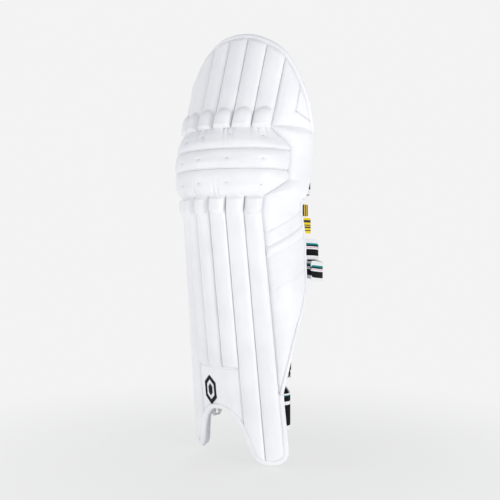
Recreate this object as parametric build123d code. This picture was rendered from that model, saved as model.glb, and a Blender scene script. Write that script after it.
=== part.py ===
from build123d import *
import os
from math import ceil, cos, hypot, pi, sin

# Cricket leg pad for the right leg, as worn: front towards -Y, outer side +X, up +Z.
# The origin is on the leg's axis, level with the bottom of the two ankle lobes. Millimetres.

# ---- driving dimensions -------------------------------------------------------------------
# Plan section of the pad by height: crown radius of the front arc and the y of its centre.
# Past a quarter turn from the front the section runs straight back.
SECTION = [(0, 161, 84), (450, 114, -16), (595, 126, 4), (770, 180, 106)]
PITCH = [(0, 36), (450, 34), (595, 37), (770, 38.5)]      # width of one channel by height
CHANNELS = 7
CUTTER = (300, 400, 200)     # size of the block that trims a channel's end
SEAM_STEPS = 8       # rounds that settle where a seam, whose place depends on its height, meets an edge

# Depths below the crown of the channels
CHANNEL_EDGE = 8
CHANNEL_BASE = 14
CORE = (14.4, 23.5)
LINING = (24, 26)
BOLSTER = (26.5, 44)
INSTEP_CUSHION = (26.5, 38)
BOLSTER_TAPER = (6, 12)      # how far a cushion's sides come in, over what height at each end
WING = (4, 13.8)
INSTEP = (5, 13.8)
CAP_PROUD = 7
ROLL_PROUD = 15

# Heights
INSTEP_TOP = 174
CAP_BOTTOM = 442
SHIN_TOP = 475
ROLL_HEIGHTS = [(475.5, 521.5), (522, 556.5), (557, 595.5)]
FLAP_BOTTOM = 596
FLAP_CAP_TOP = 631
SHORT_CAP = 21       # how much lower the first flap channel's cap ends

GAP = 0.3
ROW_STEP = 12        # most that an edge moves round the crown from one row of a shell to the next
LONGEST_ROW = 115
BINDING = 8          # width of the bound edge
BINDING_DEPTH = (2, 16)

# Outer edges as (distance round the crown from the centre line, height)
TOP_EDGE = [(234, 603), (219, 618), (198, 650), (174, 681), (157, 706), (138, 727), (117, 743),
            (92, 756), (62, 766), (30, 768), (0, 764), (-22, 755), (-44, 741), (-64, 723),
            (-83, 701), (-100, 677), (-118, 650), (-134, 624), (-145, 603)]
BOTTOM_EDGE = [(-133, 126), (-135, 80), (-138, 40), (-136, 20), (-126, 7), (-108, 0.5), (-90, 2.5),
               (-76, 12), (-65, 31), (-58, 52), (-45, 76), (-26, 90), (-5, 94.5), (15, 93), (33, 84),
               (47, 68), (54, 48), (59, 31), (69, 12), (84, 2.5), (104, 0.5), (124, 7), (134, 20),
               (136, 40), (134, 80), (133, 126)]
ARCH_FIRST, ARCH_LAST = 7, 18                       # the stretch of BOTTOM_EDGE over the instep
LOBE_ENDS = {1: (25, 12), 2: (11, 14), 6: (18, 13), 7: (13, 26)}  # heights of a channel's two seam ends

# Panels: heights with the places of their ends, as (height, inner, outer), or for a wing
# (height, rear edge), measured as a distance from the centre line
ROLL_ENDS = [(475, -121, 119), (506, -150, 168), (562, -150, 171), (596, -128, 126)]
CORE_ROWS = [(16, -112, 112), (60, -122, 120), (126, -120, 121), (209, -138, 150), (284, -158, 184),
             (323, -168, 198), (398, -174, 209), (SHIN_TOP - 1, -172, 207)]
KNEE_ROWS = [(SHIN_TOP + GAP, -170, 212), (506, -178, 224), (562, -180, 225), (FLAP_BOTTOM - GAP, -174, 220)]
FLAP_ROWS = [(FLAP_BOTTOM + GAP, -134, 218), (640, -106, 182), (680, -78, 152), (712, -56, 126),
             (738, -30, 96), (750, 0, 70)]
KNEE_REAR = {1: (225, 236, 237, 233), -1: (182, 190, 192, 186)}
SIDE_REAR = {1: [(126, 133), (157, 143), (209, 162), (244, 176), (284, 196), (323, 210), (398, 221),
                 (420, 222), (SHIN_TOP - 1, 219)],
             -1: [(126, 131), (157, 137), (209, 150), (244, 160), (284, 171), (323, 180), (398, 186),
                  (420, 186), (SHIN_TOP - 1, 184)]}
TOP_REAR = {1: [(FLAP_BOTTOM + 2, 220), (620, 204), (650, 184), (681, 160), (706, 144)],
            -1: [(FLAP_BOTTOM + 2, 136), (606, 132.8)]}
WING_GAP = 1

# Canes: how far they stop short of a channel's ends, and where the shin channels' canes start
CANE_END = 9
CANE_HALF_WIDTH = 8
CANE_DEPTHS = (6.5, 10)
CANE_BOTTOMS = {1: 38, 2: 82, 3: INSTEP_TOP, 4: INSTEP_TOP, 5: INSTEP_TOP, 6: 82, 7: 38}

# Straps: webbing size, then the plan route and height of the run that is sewn to the pad, and of
# the loose end that comes back from the ring. loop is how far the loop patch is from the run's end
WEBBING_THICKNESS = 2
WEBBING_CLEAR = 3.2      # from the lining to webbing that lies on it
WEBBING_STEP = 15
RING_BAR = 2.2
RING_LENGTH = 16
RING_SPARE = 8           # how much longer the ring's bars are than the webbing is wide
EYE_BORE = 3
EYE_RADIUS = 4.8
PATCH_THICKNESS = 1.2
PATCH_LENGTH = 90
PATCH_GAP = 0.1
PATCH_MARGIN = 4         # how much narrower a patch is than its strap
STRAPS = {
    "knee": dict(width=50, ring=(-97, 12), ring_z=511, anchor=(200, 226, 511), tab=(-158, -182), loop=90,
                 run=[(90, 54, 511), (84, 74, 511), (60, 97, 511), (0, 110, 511),
                      (-60, 102, 511), (-86, 78, 511), (-91, 42, 511)],
                 end=[(-104, 46, 511), (-97, 82, 511), (-68, 109, 511), (0, 118, 511),
                      (56, 105, 511)]),
    "calf": dict(width=38, ring=(-101, 10), ring_z=362, anchor=(190, 216, 384), tab=(-152, -176), loop=195,
                 run=[(97, 44, 384), (102, 70, 383), (78, 101, 379), (0, 122, 374),
                      (-70, 108, 368), (-93, 74, 364), (-95, 40, 362)],
                 end=[(-108, 44, 362), (-102, 80, 359), (-76, 115, 355), (0, 130, 348),
                      (80, 111, 342), (107, 80, 341), (111, 44, 344)]),
    "ankle": dict(width=64, ring=(-103, 6), ring_z=92, anchor=(100, 124, 92), tab=(-98, -122), loop=120,
                  run=[(95, -2, 92), (77, 22, 92), (46, 50, 92), (0, 66, 92),
                       (-50, 62, 92), (-84, 50, 92), (-96, 33, 92)],
                  end=[(-109, 36, 93), (-92, 57, 102), (-54, 72, 128), (0, 77, 156), (40, 56, 170),
                       (70, 32, 178), (92, 8, 183), (102, -3, 186)]),
}
TAG = dict(width=23, height=29, thickness=0.8, top=441, x=104, front=29)
TAB = dict(width=14, height=22, thickness=1.2, bottom=443)


# ---- the pad's surface --------------------------------------------------------------------
def at_height(table, z):
    """Values of a table of (height, value, ...) at height z, in straight lines between rows."""
    lower, upper = next((p for p in zip(table, table[1:]) if z <= p[1][0]), table[-2:])
    part = (z - lower[0]) / (upper[0] - lower[0])
    values = [a + part * (b - a) for a, b in zip(lower[1:], upper[1:])]
    return values[0] if len(values) == 1 else values


def quarter(z):
    """Distance round the crown from the centre line to where the section turns straight back."""
    return at_height(SECTION, z)[0] * pi / 2


def point(u, z, depth):
    """Point u round the crown from the centre line, at height z, depth inside the crown."""
    radius, centre = at_height(SECTION, z)
    angle = min(abs(u) / radius, pi / 2)
    straight = max(abs(u) - quarter(z), 0)
    side = 1 if u >= 0 else -1
    return Vector(side * (radius - depth) * sin(angle), centre - (radius - depth) * cos(angle) + straight, z)


def seam(number, z):
    """Place of a seam between channels, counted from 0 at the inner side to 7 at the outer."""
    return (number - CHANNELS / 2) * at_height(PITCH, z)


def strip_run(z, u0, u1, depth):
    """Edges along the surface at one height: a straight end, an arc and a straight end."""
    margin = min(3, (u1 - u0) / 4)
    a, b = max(u0 + margin, -quarter(z)), min(u1 - margin, quarter(z))
    start, first, middle, last, end = (point(u, z, depth) for u in (u0, a, (a + b) / 2, b, u1))
    return [Line(start, first), ThreePointArc(first, middle, last), Line(last, end)]


def strip(rows, depths):
    """Closed shell that follows the surface through rows of (z, u0, u1) between two depths.
    A row may end in its own outer depth."""
    wires = []
    for z, u0, u1, *own in filled(rows):
        outer = strip_run(z, u0, u1, own[0] if own else depths[0])
        inner = strip_run(z, u0, u1, depths[1])
        sides = [Line(outer[0] @ 0, inner[0] @ 0), Line(outer[-1] @ 1, inner[-1] @ 1)]
        wires.append(Wire(outer + inner + sides))
    return Solid.make_loft(wires, ruled=True)


def filled(rows):
    """The rows, and more between them: where the section's own table has a row, and so that no
    edge moves far round the crown in one step."""
    full = [rows[0]]
    for lower, upper in zip(rows, rows[1:]):
        most = max(abs(a - b) for a, b in zip(lower[1:3], upper[1:3])) if len(lower) > 2 else 0
        steps = max(1, ceil(most / ROW_STEP), ceil((upper[0] - lower[0]) / LONGEST_ROW))
        heights = {lower[0] + (upper[0] - lower[0]) * i / steps for i in range(1, steps)}
        heights |= {z for z, *_ in SECTION if lower[0] + 1 < z < upper[0] - 1}
        for z in sorted(heights):
            part = (z - lower[0]) / (upper[0] - lower[0])
            full.append((z,) + tuple(a + part * (b - a) for a, b in zip(lower[1:], upper[1:])))
        full.append(upper)
    return full


def tube(number, rows, edge=CHANNEL_EDGE, base=CHANNEL_BASE):
    """Channel from seam number - 1 to seam number, through rows of (z, crown depth)."""
    wires = []
    for z, crown in filled(rows):
        u0, u1 = seam(number - 1, z) + GAP, seam(number, z) - GAP
        middle = (u0 + u1) / 2
        crown_arc = ThreePointArc(point(u0, z, edge), point(middle, z, crown), point(u1, z, edge))
        base_arc = ThreePointArc(point(u0, z, base), point(middle, z, base), point(u1, z, base))
        sides = [Line(crown_arc @ 0, base_arc @ 0), Line(crown_arc @ 1, base_arc @ 1)]
        wires.append(Wire([crown_arc, base_arc] + sides))
    return Solid.make_loft(wires, ruled=True)


def inset(edge, distance):
    """The edge's points moved to its left by a distance, in the flat of the surface."""
    moved = []
    for i, (u, z) in enumerate(edge):
        (u0, z0), (u1, z1) = edge[max(i - 1, 0)], edge[min(i + 1, len(edge) - 1)]
        length = hypot(u1 - u0, z1 - z0)
        moved.append((u - (z1 - z0) / length * distance, z + (u1 - u0) / length * distance))
    return moved


def seam_top(number):
    """Place where a seam meets the inside of the flap's bound edge."""
    edge = inset(TOP_EDGE, BINDING + 3.5)
    z = TOP_EDGE[len(TOP_EDGE) // 2][1]
    for _ in range(SEAM_STEPS):
        u = seam(number, z)
        (u0, z0), (u1, z1) = next((p for p in zip(edge, edge[1:]) if p[1][0] <= u), edge[-2:])
        z = z0 + (z1 - z0) * (u0 - u) / (u0 - u1)
    return u, z


def quads_to_solid(quads):
    """Ruled solid through four-cornered sections."""
    return Solid.make_loft([Wire(Polyline(*quad, close=True).edges()) for quad in quads], ruled=True)


def binding(edge):
    """Folded tape round an edge: a block of the tape's width and the pad's thickness."""
    quads = []
    near, far = BINDING_DEPTH
    for (u, z), (v, y) in zip(edge, inset(edge, BINDING)):
        outer, inner = point(u, z, near), point(v, y, near)
        inward = point((u + v) / 2, (z + y) / 2, far) - point((u + v) / 2, (z + y) / 2, near)
        quads.append([outer, inner, inner + inward, outer + inward])
    return quads_to_solid(quads)


def ribbon(route, width, thickness=WEBBING_THICKNESS, length=None, skip=0, shift=0.0):
    """Flat webbing standing on edge along a plan route, or the last stretch of it of a length,
    less what is skipped at the end."""
    path = Spline(*[Vector(*p) for p in route])
    steps = ceil(path.length / WEBBING_STEP)
    last = steps - round(skip / WEBBING_STEP)
    first = 0 if length is None else last - round(length / WEBBING_STEP)
    quads = []
    for i in range(first, last + 1):
        where, along = path @ (i / steps), path % (i / steps)
        across = Vector(along.Y, -along.X, 0).normalized()
        faces = [where + across * (shift + side * thickness / 2) for side in (-1, 1)]
        up = Vector(0, 0, width / 2)
        quads.append([faces[0] - up, faces[1] - up, faces[1] + up, faces[0] + up])
    return quads_to_solid(quads)


def upright(x, y, z, radius, height):
    """Upright cylinder centred at a point."""
    return Pos(x, y, z) * Cylinder(radius, height)


def arch_tool(distance, depth):
    """Block that cuts the opening over the instep, a distance wider than its bound edge, to fit
    that edge at one depth."""
    arch = [(-76, -40)] + BOTTOM_EDGE[ARCH_FIRST:ARCH_LAST + 1] + [(69, -40)]
    flat = [point(u, max(z, 0), depth) for u, z in inset(arch, distance)]
    outline = [Vector(p.X, 0, z) for p, (u, z) in zip(flat, inset(arch, distance))]
    profile = Face(Wire(Polyline(*outline, close=True).edges()))
    return Pos(0, -200, 0) * extrude(profile, 200, dir=(0, 1, 0))


def past(a, b, side):
    """Block that takes away what is above (Align.MIN) or below (Align.MAX) the slanted line from
    (u, z) a to b."""
    start, end = point(*a, 0), point(*b, 0)
    along = end - start
    normal = Vector(0, 0, 1) - along * (along.Z / along.length ** 2)
    plane = Plane(origin=(start + end) / 2, x_dir=along, z_dir=normal)
    return plane * Box(*CUTTER, align=(Align.CENTER, Align.CENTER, side))


# ---- the pieces ---------------------------------------------------------------------------
def shin_channel(number):
    """One padded channel of the shin. The outer two of each side run down into the lobes."""
    in_lobe = number < 3 or number > 5
    bottom = 0 if in_lobe else INSTEP_TOP + GAP
    body = tube(number, [(bottom, 0), (CAP_BOTTOM - GAP, 0)])
    if in_lobe:
        inner, outer = LOBE_ENDS[number]
        ends = [(seam(number - 1, inner), inner), (seam(number, outer), outer)]
        body = body - past(*ends, Align.MAX) - arch_tool(BINDING + 1, 0)
    return body - cane_strip(number, (CANE_BOTTOMS[number], CAP_BOTTOM), clearance=GAP)


def cane_strip(number, heights, clearance=0.0):
    """Split-cane stiffener inside a channel, or the pocket for it."""
    half = CANE_HALF_WIDTH + clearance
    rows = []
    for z in (heights[0] + CANE_END - clearance, heights[1] - CANE_END + clearance):
        middle = (seam(number - 1, z) + seam(number, z)) / 2
        rows.append((z, middle - half, middle + half))
    return strip(rows, (CANE_DEPTHS[0] - clearance, CANE_DEPTHS[1] + clearance))


def cap_rows(bottom, top):
    """Heights and crown depths of a rounded cap."""
    height = top - bottom
    return [(bottom, 1), (bottom + height * 0.25, -CAP_PROUD * 0.9), (bottom + height * 0.6, -CAP_PROUD),
            (bottom + height * 0.88, -CAP_PROUD * 0.6), (top - GAP, 2)]


def top_channel(number):
    """One padded channel of the top flap, cut off below the flap's bound edge."""
    ends = [seam_top(k) for k in (number - 1, number)]
    top = max(z for u, z in ends)
    return tube(number, [(channel_cap_top(number) + GAP, 0), (top + ROW_STEP, 0)]) - past(*ends, Align.MIN)


def channel_cap_top(number):
    """Top of the rounded cap at the foot of a flap channel. The first is short."""
    return FLAP_CAP_TOP - (SHORT_CAP if number == 1 else 0)


def knee_roll(heights, rows):
    """Horizontal roll across the knee. Rows give the place of its inner and outer ends."""
    bottom, top = heights
    height = top - bottom
    bulge = [(0.0, 2), (0.18, -ROLL_PROUD * 0.7), (0.5, -ROLL_PROUD), (0.82, -ROLL_PROUD * 0.7), (1.0, 2)]
    sections = []
    for part, depth in bulge:
        z = bottom + part * height
        u0, u1 = at_height(rows, z)
        sections.append((z, u0, u1, depth))
    return strip(sections, (0, CHANNEL_BASE - GAP))


def wing(rows, side):
    """Panel beside the channels or the rolls, from rows of (height, front edge, rear edge)."""
    return strip([(z, *sorted((side * front, side * rear))) for z, front, rear in rows], WING)


def knee_wing(side):
    """Padded panel beside the rolls."""
    rows = []
    for (z, inner, outer), rear in zip(ROLL_ENDS, KNEE_REAR[side]):
        front = (outer if side > 0 else -inner) + WING_GAP
        rows.append((min(max(z, SHIN_TOP + GAP), FLAP_BOTTOM - GAP), front, rear))
    return wing(rows, side)


def channel_wing(rears, side):
    """Panel beside the channels of the shin or of the top flap."""
    return wing([(z, seam(CHANNELS, z) + WING_GAP, rear) for z, rear in rears], side)


def instep_panel():
    """Smooth panel below the middle channels, open over the instep."""
    rows = [(z, seam(2, z) + GAP, seam(5, z) - GAP) for z in (0, INSTEP_TOP)]
    return strip(rows, INSTEP) - arch_tool(BINDING + 1, INSTEP[0])


def lining():
    """Inner cloth lining over the whole back of the pad, open over the instep."""
    rows = CORE_ROWS + [KNEE_ROWS[1], KNEE_ROWS[2]] + FLAP_ROWS
    return strip(rows, LINING) - arch_tool(BINDING + 3, LINING[0])


def bolster(u0, u1, z0, z1, depths=BOLSTER):
    """Soft cushion on the lining, between two places round the pad and two heights, thinned at its ends."""
    narrow, short = BOLSTER_TAPER
    rows = [(z0, u0 + narrow, u1 - narrow), (z0 + short, u0, u1), (z1 - short, u0, u1),
            (z1, u0 + narrow, u1 - narrow)]
    return strip(rows, depths)


def ring(spec):
    """Rectangular wire ring, upright, with its front bar in the tab and its rear bar in the strap."""
    x, y = spec["ring"]
    z, height = spec["ring_z"], spec["width"] + RING_SPARE
    ends = [(y, -1), (y, 1), (y + RING_LENGTH, -1), (y + RING_LENGTH, 1)]
    bars = [upright(x, y, z, RING_BAR, height), upright(x, y + RING_LENGTH, z, RING_BAR, height)]
    for end in (-1, 1):
        middle = Pos(x, y + RING_LENGTH / 2, z + end * height / 2)
        bars.append(middle * Rot(90, 0, 0) * Cylinder(RING_BAR, RING_LENGTH))
    corners = [Pos(x, end_y, z + end * height / 2) * Sphere(RING_BAR) for end_y, end in ends]
    return bars[0] + bars[1:] + corners


def on_lining(u, z):
    """Point where webbing lies on the lining."""
    return point(u, z, LINING[1] + WEBBING_CLEAR + WEBBING_THICKNESS / 2)


def ring_tab(spec):
    """Webbing tab sewn inside the inner wing and folded round the ring's front bar."""
    (x, y), z, width = spec["ring"], spec["ring_z"], spec["width"]
    blade = ribbon([on_lining(u, z) for u in spec["tab"]] + [Vector(x + EYE_BORE + 1, y - 1, z)], width)
    return blade + upright(x, y, z, EYE_RADIUS, width) - upright(x, y, z, EYE_BORE, width + 2)


def run_route(spec):
    """Route of the run that is sewn on the lining of the outer wing and crosses behind the leg."""
    first, second, z = spec["anchor"]
    return [on_lining(first, z), on_lining(second, z)] + spec["run"]


def end_route(spec):
    """Route of a strap's loose end, from its fold round the ring's rear bar."""
    (x, y), z = spec["ring"], spec["ring_z"]
    return [(x - EYE_RADIUS + 1, y + RING_LENGTH, z), (x - EYE_RADIUS, y + RING_LENGTH + 8, z)] + spec["end"]


def loose_end(spec):
    """Free end of a strap, back to the outer side."""
    (x, y), z, width = spec["ring"], spec["ring_z"], spec["width"]
    y += RING_LENGTH
    band = ribbon(end_route(spec), width)
    return band + upright(x, y, z, EYE_RADIUS, width) - upright(x, y, z, EYE_BORE, width + 2)


def patch(route, width, side, skip):
    """Hook or loop patch on one face of a strap."""
    shift = (WEBBING_THICKNESS + PATCH_THICKNESS) / 2 + PATCH_GAP
    return ribbon(route, width - PATCH_MARGIN, PATCH_THICKNESS, PATCH_LENGTH, skip, side * shift)


def tag():
    """Card tag that hangs below the tab."""
    card = Box(TAG["thickness"], TAG["width"], TAG["height"], align=(Align.CENTER, Align.MIN, Align.MAX))
    return Pos(TAG["x"], TAG["front"], TAG["top"]) * card


def tab():
    """Stiff woven tab sewn behind the outer wing's edge."""
    cloth = Box(TAB["thickness"], TAB["width"], TAB["height"], align=(Align.CENTER, Align.MIN, Align.MIN))
    return Pos(TAG["x"], TAG["front"], TAB["bottom"]) * cloth


# ---- assembly and export ------------------------------------------------------------------
numbers = range(1, CHANNELS + 1)
nodes = {}
for i in numbers:
    nodes[f"shin_channel_{i}"] = shin_channel(i)
    nodes[f"top_channel_{i}"] = top_channel(i)
nodes["shin_canes"] = [cane_strip(i, (CANE_BOTTOMS[i], CAP_BOTTOM)) for i in numbers]
nodes["shin_channel_caps"] = [tube(i, cap_rows(CAP_BOTTOM, SHIN_TOP)) for i in numbers]
nodes["top_channel_caps"] = [tube(i, cap_rows(FLAP_BOTTOM + GAP, channel_cap_top(i))) for i in numbers]
for name, heights in zip(("lower", "middle", "upper"), ROLL_HEIGHTS):
    nodes[f"knee_roll_{name}"] = knee_roll(heights, ROLL_ENDS)
for name, side in (("outer", 1), ("inner", -1)):
    nodes[f"knee_wing_{name}"] = knee_wing(side)
    nodes[f"side_wing_{name}"] = channel_wing(SIDE_REAR[side], side)
    nodes[f"top_wing_{name}"] = channel_wing(TOP_REAR[side], side)
nodes["instep_panel"] = instep_panel()
nodes["top_binding"] = binding(TOP_EDGE)
nodes["bottom_binding"] = binding(BOTTOM_EDGE)
nodes["shin_foam_core"] = strip(CORE_ROWS, CORE) - arch_tool(BINDING + 3, CORE[0])
nodes["knee_foam_core"] = strip(KNEE_ROWS, CORE)
nodes["top_foam_core"] = strip(FLAP_ROWS, CORE)
nodes["lining"] = lining()
nodes["shin_bolster_outer"] = bolster(48, 92, 150, 440)
nodes["shin_bolster_inner"] = bolster(-92, -48, 150, 440)
nodes["knee_cushion_middle"] = bolster(-52, 52, 470, 600)
nodes["knee_cushion_outer"] = bolster(56, 112, 478, 592)
nodes["knee_cushion_inner"] = bolster(-112, -56, 478, 592)
nodes["instep_cushion"] = bolster(-58, 58, 112, 146, INSTEP_CUSHION)
for name, spec in STRAPS.items():
    nodes[f"{name}_strap"] = ribbon(run_route(spec), spec["width"])
    nodes[f"{name}_ring"] = ring(spec)
    nodes[f"{name}_strap_end"] = loose_end(spec)
    nodes[f"{name}_hook_patch"] = patch(end_route(spec), spec["width"], 1, WEBBING_STEP)
nodes["loop_patches"] = [patch(run_route(spec), spec["width"], -1, spec["loop"])
                         for spec in STRAPS.values()]
nodes["ring_tabs"] = [ring_tab(spec) for spec in STRAPS.values()]
nodes["edge_tab"] = tab()
nodes["hang_tag"] = tag()

os.makedirs("parts", exist_ok=True)
for name, solid in nodes.items():
    shape = Compound(children=solid) if isinstance(solid, list) else solid
    export_step(shape, f"parts/{name}.step")
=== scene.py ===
import math
import bmesh
import bpy
import numpy as np
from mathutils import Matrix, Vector


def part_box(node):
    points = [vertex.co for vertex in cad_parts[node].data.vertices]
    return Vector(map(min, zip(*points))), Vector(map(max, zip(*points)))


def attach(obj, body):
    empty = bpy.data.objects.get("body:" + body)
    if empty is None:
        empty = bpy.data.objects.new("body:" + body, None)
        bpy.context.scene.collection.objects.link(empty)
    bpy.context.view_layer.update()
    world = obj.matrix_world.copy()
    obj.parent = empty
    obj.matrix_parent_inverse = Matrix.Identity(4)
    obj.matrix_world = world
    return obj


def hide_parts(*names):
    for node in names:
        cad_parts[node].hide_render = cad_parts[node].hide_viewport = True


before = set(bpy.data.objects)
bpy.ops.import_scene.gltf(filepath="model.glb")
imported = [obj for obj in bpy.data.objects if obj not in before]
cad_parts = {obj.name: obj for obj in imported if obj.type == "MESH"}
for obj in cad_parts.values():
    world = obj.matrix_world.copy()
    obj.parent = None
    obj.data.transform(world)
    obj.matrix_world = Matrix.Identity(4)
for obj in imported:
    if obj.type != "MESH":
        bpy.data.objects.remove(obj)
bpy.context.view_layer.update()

# Cricket leg pad. Lengths are in millimetres until a point is placed, and metres after that.
# Every front piece lies on one curved surface: u is the distance round the front from the centre
# line (+ towards the outer side), z the height, and depth the distance inside the crown.
MM = 0.001
PITCH = ((0, 36), (450, 34), (595, 37), (770, 38.5))      # height, channel width
SECTION = ((0, 161, 84), (450, 114, -16), (595, 126, 4), (770, 180, 106))   # height, radius, centre y
CHANNELS = 7
GAP = 0.25             # between a front piece and the seam beside it

# Heights come from the frame
SHIN_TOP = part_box("shin_channel_caps")[1][2] / MM
CAP_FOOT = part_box("shin_channel_caps")[0][2] / MM
FLAP_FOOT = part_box("top_channel_caps")[0][2] / MM
FLAP_CAP_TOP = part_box("top_channel_caps")[1][2] / MM
INSTEP_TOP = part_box("shin_channel_4")[0][2] / MM
MIDDLE_ROLL, UPPER_ROLL = (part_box(f"knee_roll_{word}")[0][2] / MM for word in ("middle", "upper"))
CREASES = (SHIN_TOP, MIDDLE_ROLL, UPPER_ROLL, FLAP_FOOT)

SEAM_DEPTH = 6.8       # how far the valleys lie below the crown
BACK = 12.0            # depth of the backs of the front pieces
BINDING = 8.5          # width of the tape round the edges
SIDES = {1: "outer", -1: "inner"}

# Outlines (u, z): the flap's from the outer side over the top, and the foot's from the inner
# side round both lobes and the instep opening between them
TOP_EDGE = [(236, 599), (219, 620), (198, 650), (175, 681), (157, 705), (138, 727), (117, 743),
            (92, 756), (62, 766), (30, 768.5), (0, 765), (-22, 756), (-44, 742), (-64, 724),
            (-83, 702), (-100, 678), (-118, 651), (-134, 625), (-147, 599)]
BOTTOM_EDGE = [(-133, 130), (-135, 80), (-137, 40), (-135, 20), (-126, 13), (-112, 7), (-96, 8),
               (-81, 17), (-69, 34), (-60, 53), (-46, 74), (-26, 90), (-5, 95), (15, 93), (33, 84),
               (46, 68), (54, 48), (60, 31), (69, 12), (84, 2.5), (104, 0.5), (124, 7), (133, 20),
               (135, 40), (134, 80), (133, 130)]
ARCH_FIRST, ARCH_LAST = 7, 18      # the instep opening's points in it
# Rows (z, u) of each side's rear edge beside the shin and the knee, and of the ends of the rolls
SIDE_REAR = {1: [(100, 133), (130, 134), (157, 143), (209, 162), (244, 176), (284, 196), (323, 210),
                 (398, 221), (420, 222), (474, 219)],
             -1: [(100, 133), (130, 133), (157, 137), (209, 150), (244, 160), (284, 171), (323, 180),
                  (398, 186), (420, 186), (474, 184)]}
KNEE_REAR = {1: [(474, 224), (490, 231), (510, 236), (562, 237), (590, 235), (600, 233)],
             -1: [(474, 183), (506, 191), (562, 192), (590, 182), (600, 160)]}
ROLL_END = {1: [(475, 119), (505, 168), (562, 171), (597, 126)],
            -1: [(475, 121), (505, 150), (562, 150), (597, 128)]}


# ---- the surface --------------------------------------------------------------------------
def along(table, z, column=1):
    """Value of a table of rows (height, value, ...) at heights z, in straight lines."""
    return np.interp(z, [row[0] for row in table], [row[column] for row in table])


def place(u, z, depth):
    """Points in metres for places round the front, heights and depths in millimetres."""
    u, z, depth = np.broadcast_arrays(*(np.asarray(a, float) for a in (u, z, depth)))
    radius, centre = along(SECTION, z), along(SECTION, z, 2)
    angle = np.minimum(np.abs(u) / radius, math.pi / 2)
    straight = np.maximum(np.abs(u) - radius * math.pi / 2, 0)
    x = np.sign(u) * (radius - depth) * np.sin(angle)
    y = centre - (radius - depth) * np.cos(angle) + straight
    return np.stack([x, y, z], -1) * MM


def seam(number, z):
    """Place of a seam between channels, counted from 0 at the inner side to 7 at the outer."""
    return (number - CHANNELS / 2) * along(PITCH, z)


def smooth(points, step=4.0):
    """A smooth line (Catmull-Rom) through points, in steps of about a length."""
    p = np.array(points, float)
    p = np.concatenate([2 * p[:1] - p[1:2], p, 2 * p[-1:] - p[-2:-1]])
    line = []
    for a, b, c, d in zip(p, p[1:], p[2:], p[3:]):
        n = max(2, int(np.linalg.norm(c - b) / step))
        for t in np.arange(n) / n:
            line.append(0.5 * (2 * b + (c - a) * t + (2 * a - 5 * b + 4 * c - d) * t * t
                               + (3 * b - a - 3 * c + d) * t ** 3))
    line.append(p[-2])
    return np.array(line)


def distances(path):
    """Distance of each point of a path from its start, along it."""
    return np.concatenate([[0], np.cumsum(np.linalg.norm(np.diff(path, axis=0), axis=1))])


def inset(line, distance):
    """The line moved to its left by a distance."""
    d = np.gradient(line, axis=0)
    d /= np.linalg.norm(d, axis=1)[:, None]
    return line + np.stack([-d[:, 1], d[:, 0]], 1) * distance


def lattice(x, y, seed):
    """Smooth noise from -1 to 1 on a unit lattice."""
    def corner(i, j):
        """Fixed number from -1 to 1 for a lattice corner."""
        h = np.sin(i * 127.1 + j * 311.7 + seed * 74.7) * 43758.5453
        return (h - np.floor(h)) * 2 - 1
    i, j = np.floor(x), np.floor(y)
    fx, fy = x - i, y - j
    sx, sy = fx * fx * (3 - 2 * fx), fy * fy * (3 - 2 * fy)
    low = corner(i, j) * (1 - sx) + corner(i + 1, j) * sx
    high = corner(i, j + 1) * (1 - sx) + corner(i + 1, j + 1) * sx
    return low * (1 - sy) + high * sy


def rise(x):
    """Smooth step from 0 to 1."""
    x = np.clip(x, 0, 1)
    return x * x * (3 - 2 * x)


# ---- mesh helpers -------------------------------------------------------------------------
def make(name, points, faces, material, body="pad", crease=40):
    """Mesh object from points in metres and lists of corners, shaded smooth, riding a body."""
    mesh = bpy.data.meshes.new(name)
    mesh.from_pydata([tuple(p) for p in np.asarray(points).reshape(-1, 3)], [], faces)
    mesh.validate()
    piece = bpy.data.objects.new(name, mesh)
    bpy.context.collection.objects.link(piece)
    mesh.materials.append(material)
    mesh.shade_smooth()
    if crease:
        bpy.context.view_layer.objects.active = piece
        mesh.set_sharp_from_angle(angle=math.radians(crease))
    if body:
        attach(piece, body)
    return piece


def grid_faces(rows, columns, first=0, flip=False):
    """Quads of a grid of rows by columns points that starts at a point number."""
    i = np.arange((rows - 1) * columns).reshape(rows - 1, columns)[:, :-1].ravel() + first
    quads = np.stack([i, i + 1, i + columns + 1, i + columns], 1)
    return (quads[:, ::-1] if flip else quads).tolist()


def rim(rows, columns):
    """Neighbouring pairs of point numbers round the rim of a grid."""
    ring = (list(range(columns)) + [r * columns + columns - 1 for r in range(1, rows)]
            + [(rows - 1) * columns + c for c in range(columns - 2, -1, -1)]
            + [r * columns for r in range(rows - 2, 0, -1)])
    return zip(ring, ring[1:] + ring[:1])


def tube_faces(rings, corners):
    """Quads of a tube of sections with the same number of corners, and its two flat ends."""
    faces = [[i * corners + k, i * corners + (k + 1) % corners,
              (i + 1) * corners + (k + 1) % corners, (i + 1) * corners + k]
             for i in range(rings - 1) for k in range(corners)]
    return faces + [list(range(corners))[::-1], [(rings - 1) * corners + k for k in range(corners)]]


def shell(name, u, z, outer, inner, material, body="pad", crease=50):
    """Closed piece over a grid of places: a front at the outer depths, a back and four sides."""
    rows, columns = u.shape
    points = np.concatenate([place(u, z, depth).reshape(-1, 3) for depth in (outer, inner)])
    count = rows * columns
    faces = grid_faces(rows, columns) + grid_faces(rows, columns, count, flip=True)
    faces += [[b, a, a + count, b + count] for a, b in rim(rows, columns)]
    return make(name, points, faces, material, body, crease)


def store(piece, name, values):
    """Keeps one number per point on a piece, for its material to read."""
    attribute = piece.data.attributes.new(name, "FLOAT", "POINT")
    attribute.data.foreach_set("value", np.asarray(values).astype(np.float32))


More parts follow.
